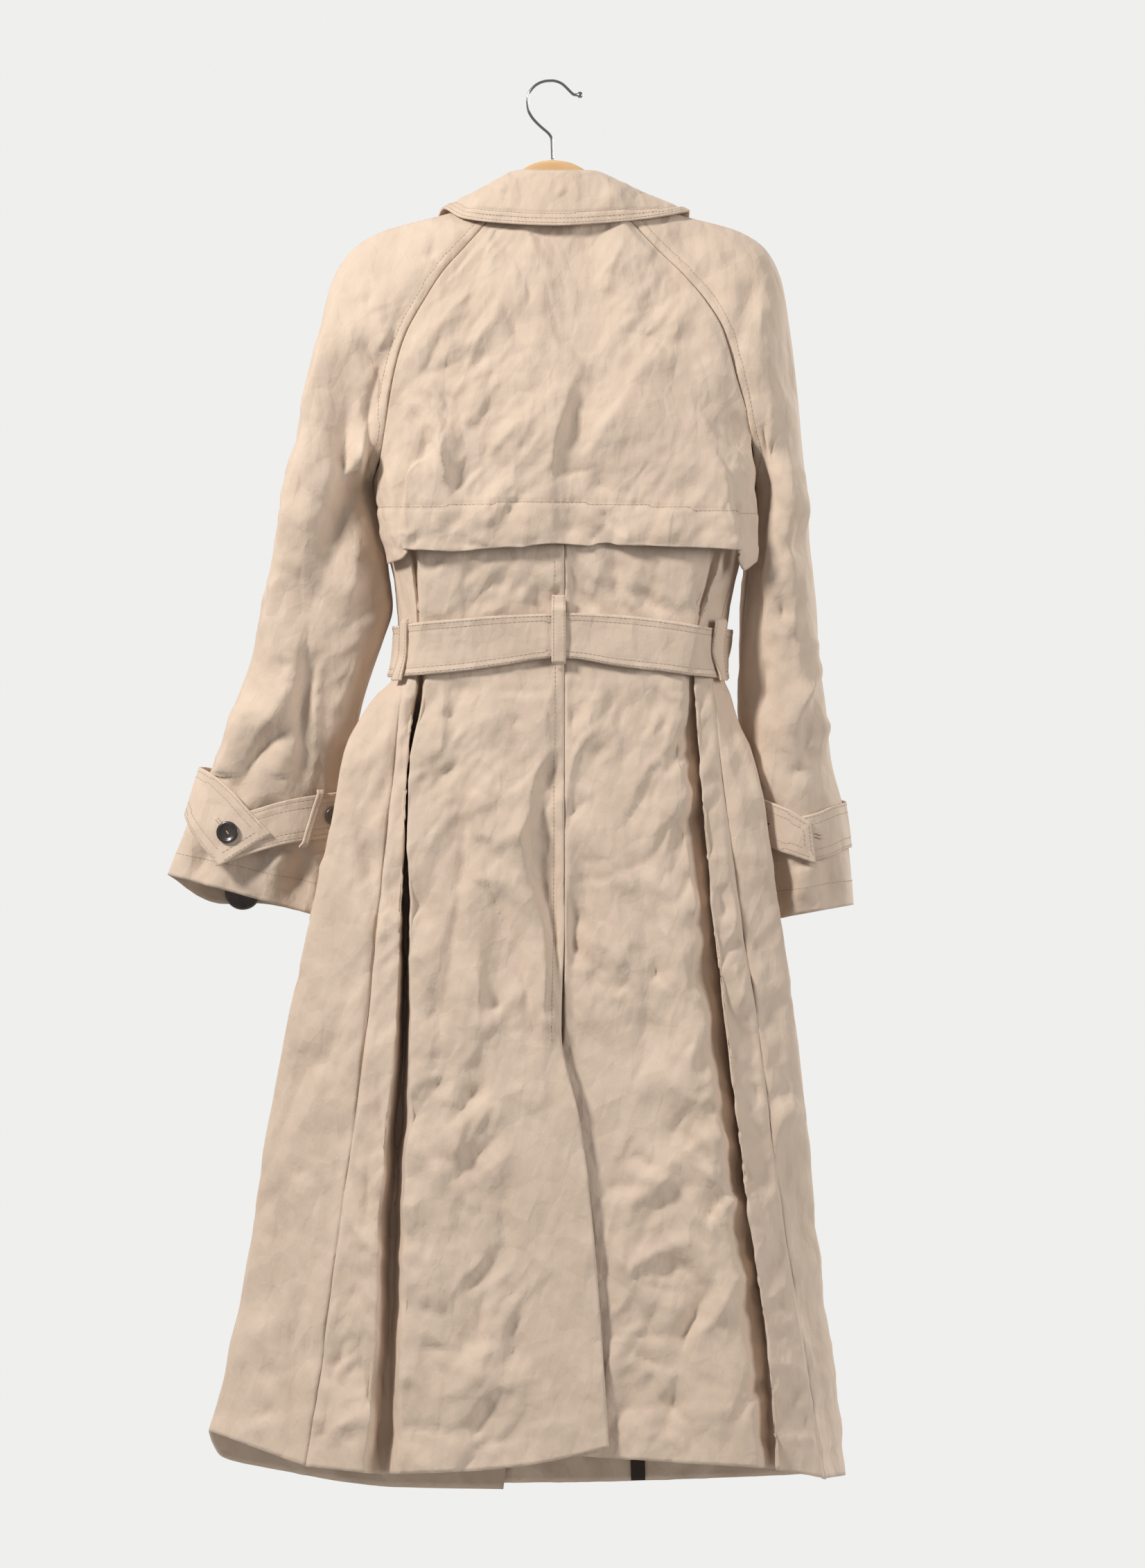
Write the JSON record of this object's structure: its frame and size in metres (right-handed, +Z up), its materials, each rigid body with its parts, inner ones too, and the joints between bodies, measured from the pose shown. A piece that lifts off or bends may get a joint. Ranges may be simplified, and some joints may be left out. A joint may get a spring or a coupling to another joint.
{
  "type": "trench coat on hanger",
  "caption": "Belted raglan-sleeved trench coat with storm flap, side pleats and back vent, hanging on a wooden hanger with a wire hook.",
  "frame": {"origin": "where the hook rests on its rail: the inner top of the hook's wire", "axes": "+Z up, +Y towards the coat's front, +X to the right as seen from behind the coat"},
  "size_m": [0.6163, 0.209, 1.2813],
  "materials": {
    "cloth": "plain beige cotton gabardine",
    "wood": "satin, honey-coloured",
    "chrome": "polished wire",
    "horn": "dark brown, glossy, dished",
    "tape": "dark binding tape"
  },
  "bodies": {
    "root": {"back_left": "cloth", "back_right": "cloth", "belt": "cloth", "belt_keeper": "cloth", "belt_loop_centre": "cloth", "belt_loop_left": "cloth", "belt_loop_right": "cloth", "collar": "cloth", "cuff_button_left": "horn", "cuff_button_left_under": "horn", "cuff_inner_button_left": "horn", "cuff_loop_left": "cloth", "cuff_strap_left": "cloth", "cuff_strap_right": "cloth", "front_button_left_1": "horn", "front_button_left_2": "horn", "front_button_left_3": "horn", "front_button_right_1": "horn", "front_button_right_2": "horn", "front_button_right_3": "horn", "front_left": "cloth", "front_right": "cloth", "hanger_hook": "chrome", "hanger_wood": "wood", "lapel_left": "cloth", "lapel_right": "cloth", "seam_tape_right": "tape", "sleeve_left_back": "cloth", "sleeve_left_front": "cloth", "sleeve_right_back": "cloth", "sleeve_right_front": "cloth", "storm_flap": "cloth"}
  },
  "joints": []
}
